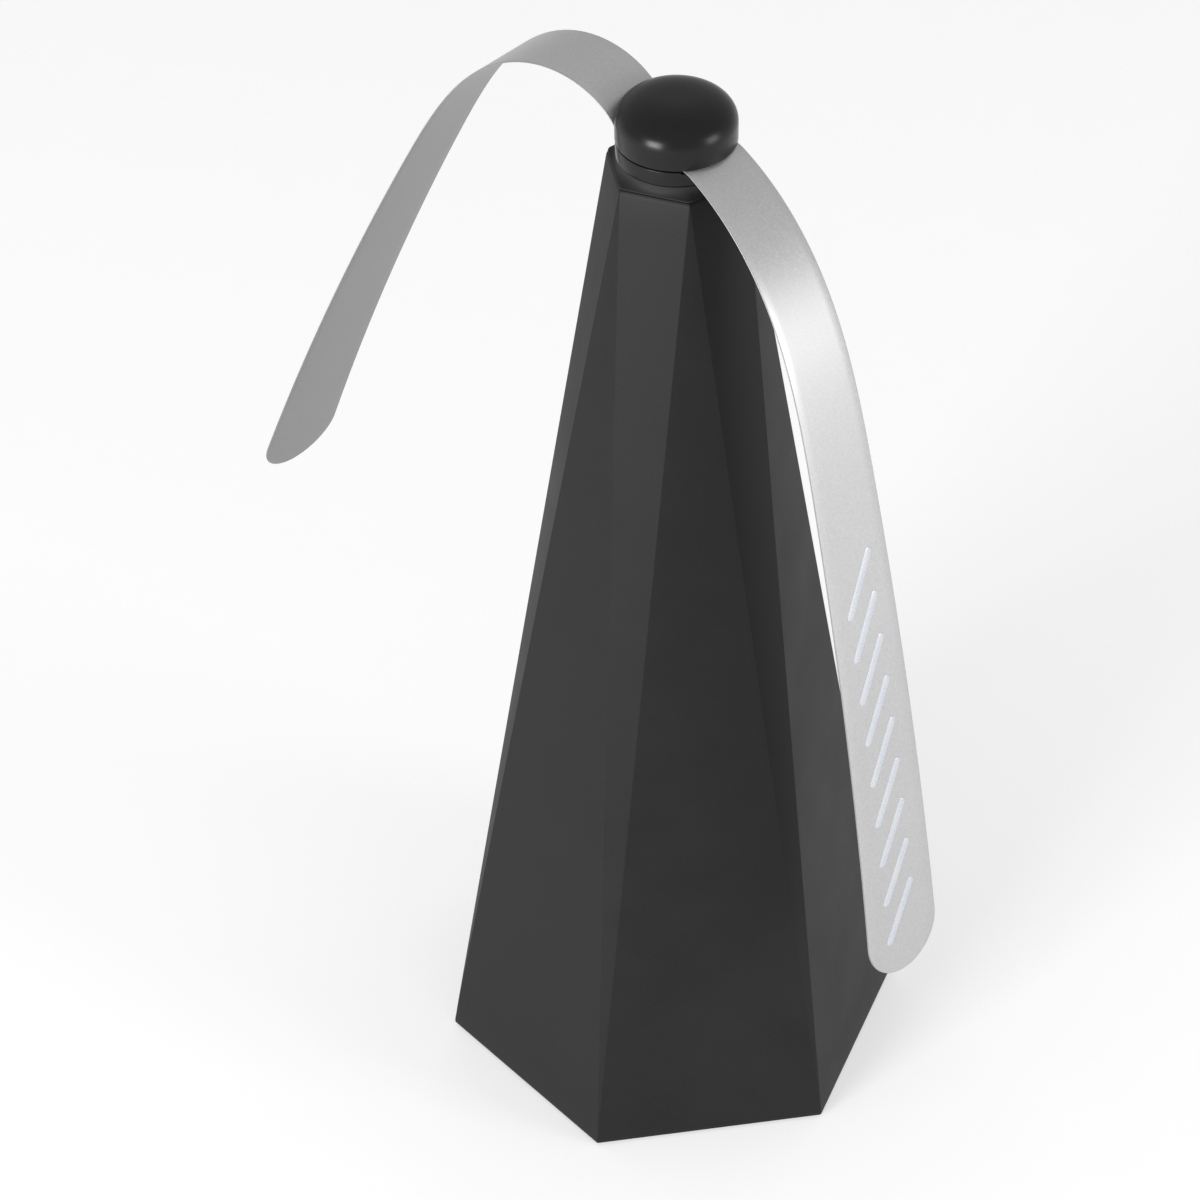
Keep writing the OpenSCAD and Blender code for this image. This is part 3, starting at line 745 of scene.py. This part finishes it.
def surface(name, colour, rough, metal=0.0, grain=0.4 * MM, depth=0.01 * MM, mottle=0.12,
            patch=14 * MM, wear=0.0, wear_at=0.5 * MM, gloss=0.5, stretch=(1, 1, 1), coat=0.0):
    """Moulded, painted or plated surface: patches, a fine grain, uneven gloss and worn edges."""
    f = Finish(name)
    patches = f.noise(patch, 3.0)
    fine = f.noise(grain, 2.0, stretch)
    base = f.mix(f.spread(patches, 0, 1), shade(colour, 1 - mottle), shade(colour, 1 + mottle))
    base = f.mix(f.spread(fine, 0, 0.5), base, shade(colour, 1 + 1.5 * mottle))
    if wear:
        worn = f.times(f.edges(wear_at), f.spread(f.noise(patch / 4, 4.0), wear * 0.3, wear))
        base = f.mix(worn, base, shade(colour, WORN_TINT))
    f.put(f.shader.inputs["Base Color"], base)
    f.put(f.shader.inputs["Roughness"], f.spread(patches, rough - ROUGH_SPREAD, rough + ROUGH_SPREAD))
    f.shader.inputs["Metallic"].default_value = metal
    f.shader.inputs["Specular IOR Level"].default_value = gloss
    f.shader.inputs["Coat Weight"].default_value = coat
    f.put(f.shader.inputs["Normal"], f.bump(fine, depth))
    return f.material


def film(name, tone):
    """Silver-coated film: a fine metallic grain with a satin sheen."""
    f = Finish(name)
    grain = f.noise(0.45 * MM, 3.0)
    cloud = f.noise(22 * MM, 2.0)
    base = f.mix(f.spread(grain, 0, 1), rgb(0.92 * tone), rgb(1.08 * tone))
    base = f.mix(f.spread(cloud, 0, 0.25), base, rgb(1.14 * tone))
    f.put(f.shader.inputs["Base Color"], base)
    f.put(f.shader.inputs["Roughness"], f.spread(grain, 0.36, 0.46))
    f.shader.inputs["Metallic"].default_value = 0.6
    f.put(f.shader.inputs["Normal"], f.bump(grain, 0.006 * MM))
    return f.material


def foil():
    """Holographic foil: pale, with soft shifts between a cool and a neutral grey."""
    f = Finish("foil_look")
    shift = f.noise(3.2 * MM, 3.0, (1, 1, 0.5))
    grain = f.noise(0.35 * MM, 2.0)
    cool = f.mix(f.spread(shift, 0, 1), rgb(0.54, 0.58, 0.66), rgb(0.62, 0.63, 0.64))
    base = f.mix(f.spread(grain, 0, 0.6), cool, rgb(0.59, 0.6, 0.64))
    f.put(f.shader.inputs["Base Color"], base)
    f.put(f.shader.inputs["Roughness"], f.spread(grain, 0.22, 0.4))
    f.shader.inputs["Metallic"].default_value = 0.35
    f.put(f.shader.inputs["Normal"], f.bump(grain, 0.003 * MM))
    return f.material


# Noise drawn out along Z, for turned and drawn metal.
UPRIGHT = (1, 1, 0.06)


def looks():
    """A material for every slot of the record."""
    return {
        "tower_plastic": surface("tower_look", rgb(0.012, 0.012, 0.0122), 0.5, grain=0.35 * MM,
                                 depth=0.02 * MM, mottle=0.16, patch=18 * MM, wear=0.35, gloss=0.16),
        "collar_plastic": surface("collar_look", rgb(0.026, 0.026, 0.0262), 0.58, grain=0.3 * MM,
                                  depth=0.006 * MM, wear=0.3, wear_at=0.25 * MM, gloss=0.14),
        "base_plastic": surface("base_look", rgb(0.03, 0.03, 0.031), 0.6, grain=0.4 * MM,
                                depth=0.02 * MM, wear=0.3, gloss=0.4),
        "hub_plastic": surface("hub_look", rgb(0.006, 0.006, 0.0062), 0.27, grain=0.25 * MM,
                               depth=0.004 * MM, mottle=0.1, wear=0.2, wear_at=0.25 * MM, gloss=0.24),
        "blade_film": film("film_look", 0.475),
        "foil": foil(),
        "foot_rubber": surface("foot_look", rgb(0.018), 0.8, grain=0.3 * MM, depth=0.03 * MM, gloss=0.3),
        "screw_steel": surface("screw_look", rgb(0.55, 0.56, 0.58), 0.3, 1.0, wear=0.4, wear_at=0.15 * MM),
        "shaft_steel": surface("shaft_look", rgb(0.62, 0.63, 0.65), 0.22, 1.0, stretch=UPRIGHT),
        "spring_steel": surface("spring_look", rgb(0.66, 0.67, 0.69), 0.25, 1.0),
        "cell_wrap": surface("cell_look", rgb(0.05, 0.14, 0.3), 0.3, coat=0.4, patch=20 * MM),
        "switch_metal": surface("switch_look", rgb(0.6, 0.61, 0.62), 0.34, 1.0),
        "knob_plastic": surface("knob_look", rgb(0.6, 0.6, 0.59), 0.5, wear=0.2, wear_at=0.2 * MM),
        "wire_red": surface("wire_red_look", rgb(0.5, 0.03, 0.02), 0.35),
        "wire_black": surface("wire_black_look", rgb(0.02), 0.35),
        "can_steel": surface("can_look", rgb(0.56, 0.57, 0.59), 0.35, 1.0, stretch=UPRIGHT, wear=0.3),
        "endcap_plastic": surface("endcap_look", rgb(0.7, 0.68, 0.62), 0.5),
        "brass": surface("brass_look", rgb(0.7, 0.5, 0.2), 0.3, 1.0, stretch=UPRIGHT),
        "copper": surface("copper_look", rgb(0.7, 0.34, 0.18), 0.3, 1.0, stretch=UPRIGHT),
        "magnet": surface("magnet_look", rgb(0.08, 0.08, 0.085), 0.7, 0.3, depth=0.03 * MM),
        "winding": surface("winding_look", rgb(0.4, 0.16, 0.06), 0.35, 0.7, stretch=(1, 1, 0.3)),
        "gear_plastic": surface("gear_look", rgb(0.75, 0.73, 0.67), 0.45),
        "frame_plastic": surface("frame_look", rgb(0.6, 0.6, 0.58), 0.5),
    }


SOFT_ANGLE = 40
SOFT_SEGMENTS = 3
SOFT_EDGES = {
    "base_plate": 0.2 * MM, "battery_door": 0.2 * MM, "foot_ring": 0.3 * MM,
    "base_screws": 0.15 * MM, "switch_knob": 0.1 * MM,
}


def dress(pieces):
    """Gives each new piece and CAD node the material of its slot, and softens some CAD edges."""
    made = looks()
    slots = {part["node"]: part["material_slot"] for part in frame["record"]["subparts"]}
    for name, node in frame["nodes"].items():
        node.data.materials.clear()
        node.data.materials.append(made[slots[name]])
    for name, width in SOFT_EDGES.items():
        bevel = frame["nodes"][name].modifiers.new("soft edges", "BEVEL")
        bevel.width = width
        bevel.segments = SOFT_SEGMENTS
        bevel.limit_method = "ANGLE"
        bevel.angle_limit = math.radians(SOFT_ANGLE)
    # Painted shade: the underside and edges of each blade get a darker copy of the same film.
    back = film("film_underside_painted_shade_look", 0.3)
    for piece in pieces:
        if not piece.data.materials:
            piece.data.materials.append(None)
        piece.data.materials[0] = made[piece["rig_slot"]]
        if piece["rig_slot"] == "blade_film":
            piece.data.materials[1] = back


# ---------------------------------------------------------------- room

CAMERA_TURN = -10.508
CAMERA_RISE = 39.332
CAMERA_AWAY = 1058.3 * MM
CAMERA_AIM = Vector((0, 0, 110 * MM))
CAMERA_ROLL = 0.169
CAMERA_YAW = 0.859
CAMERA_PITCH = 0.231
LENS = 150
SENSOR = 36
FLOOR_REACH = 6
FLOOR_GLOW = 0.45
SKY_GLOW = 0.65


def heading(turn, rise):
    """Unit vector towards a turn and a rise in degrees, where turn 0 is the front."""
    a, e = math.radians(turn), math.radians(rise)
    return Vector((math.sin(a) * math.cos(e), -math.cos(a) * math.cos(e), math.sin(e)))


def add_camera():
    """Camera that looks at the tower's middle from the photo's side, turned a little off it."""
    data = bpy.data.cameras.new("camera")
    data.lens = LENS
    data.sensor_width = SENSOR
    camera = bpy.data.objects.new("camera", data)
    bpy.context.scene.collection.objects.link(camera)
    back = heading(CAMERA_TURN, CAMERA_RISE)
    aim = back.to_track_quat("Z", "Y").to_matrix().to_4x4()
    tilt = (Matrix.Rotation(math.radians(CAMERA_ROLL), 4, "Z")
            @ Matrix.Rotation(math.radians(CAMERA_YAW), 4, "Y")
            @ Matrix.Rotation(math.radians(CAMERA_PITCH), 4, "X"))
    camera.matrix_world = Matrix.Translation(CAMERA_AIM + back * CAMERA_AWAY) @ aim @ tilt
    bpy.context.scene.camera = camera


def add_floor():
    """Pale floor that glows a little, so that it stays white around the tower."""
    bm = bmesh.new()
    corners = ((-1, -1), (1, -1), (1, 1), (-1, 1))
    bm.faces.new([bm.verts.new((FLOOR_REACH * x, FLOOR_REACH * y, 0)) for x, y in corners])
    floor = make_object("floor", bm)
    look = surface("floor_look", rgb(0.6), 0.7, mottle=0.005, depth=0.0, gloss=0.1)
    glow = look.node_tree.nodes["Principled BSDF"].inputs
    glow["Emission Color"].default_value = rgb(1)
    glow["Emission Strength"].default_value = FLOOR_GLOW
    floor.data.materials.append(look)


def add_softbox(name, turn, rise, away, width, height, power):
    """Soft area light that faces the tower's middle, with its power in watts."""
    data = bpy.data.lights.new(name, "AREA")
    data.shape = "RECTANGLE"
    data.size = width
    data.size_y = height
    data.energy = power
    light = bpy.data.objects.new(name, data)
    bpy.context.scene.collection.objects.link(light)
    way = heading(turn, rise)
    light.matrix_world = (Matrix.Translation(CAMERA_AIM + way * away)
                          @ way.to_track_quat("Z", "Y").to_matrix().to_4x4())


def add_lights():
    """Even room light and two softboxes, which make the highlights on the dome."""
    bpy.context.scene.view_settings.view_transform = "Standard"
    world = bpy.data.worlds.new("room")
    bpy.context.scene.world = world
    world.use_nodes = True
    sky = world.node_tree.nodes["Background"]
    sky.inputs["Color"].default_value = rgb(1)
    sky.inputs["Strength"].default_value = SKY_GLOW
    add_softbox("left", turn=-50, rise=10, away=1.2, width=0.45, height=0.5, power=13)
    add_softbox("right", turn=56, rise=12, away=1.2, width=0.4, height=0.5, power=4.4)


add_camera()
add_floor()
add_lights()
new_pieces = [tower_shell(), collar(), hub_ring(), hub_dome()]
for one in LEAVES:
    new_pieces += [blade(one), foil_stripes(one)]
dress(new_pieces)
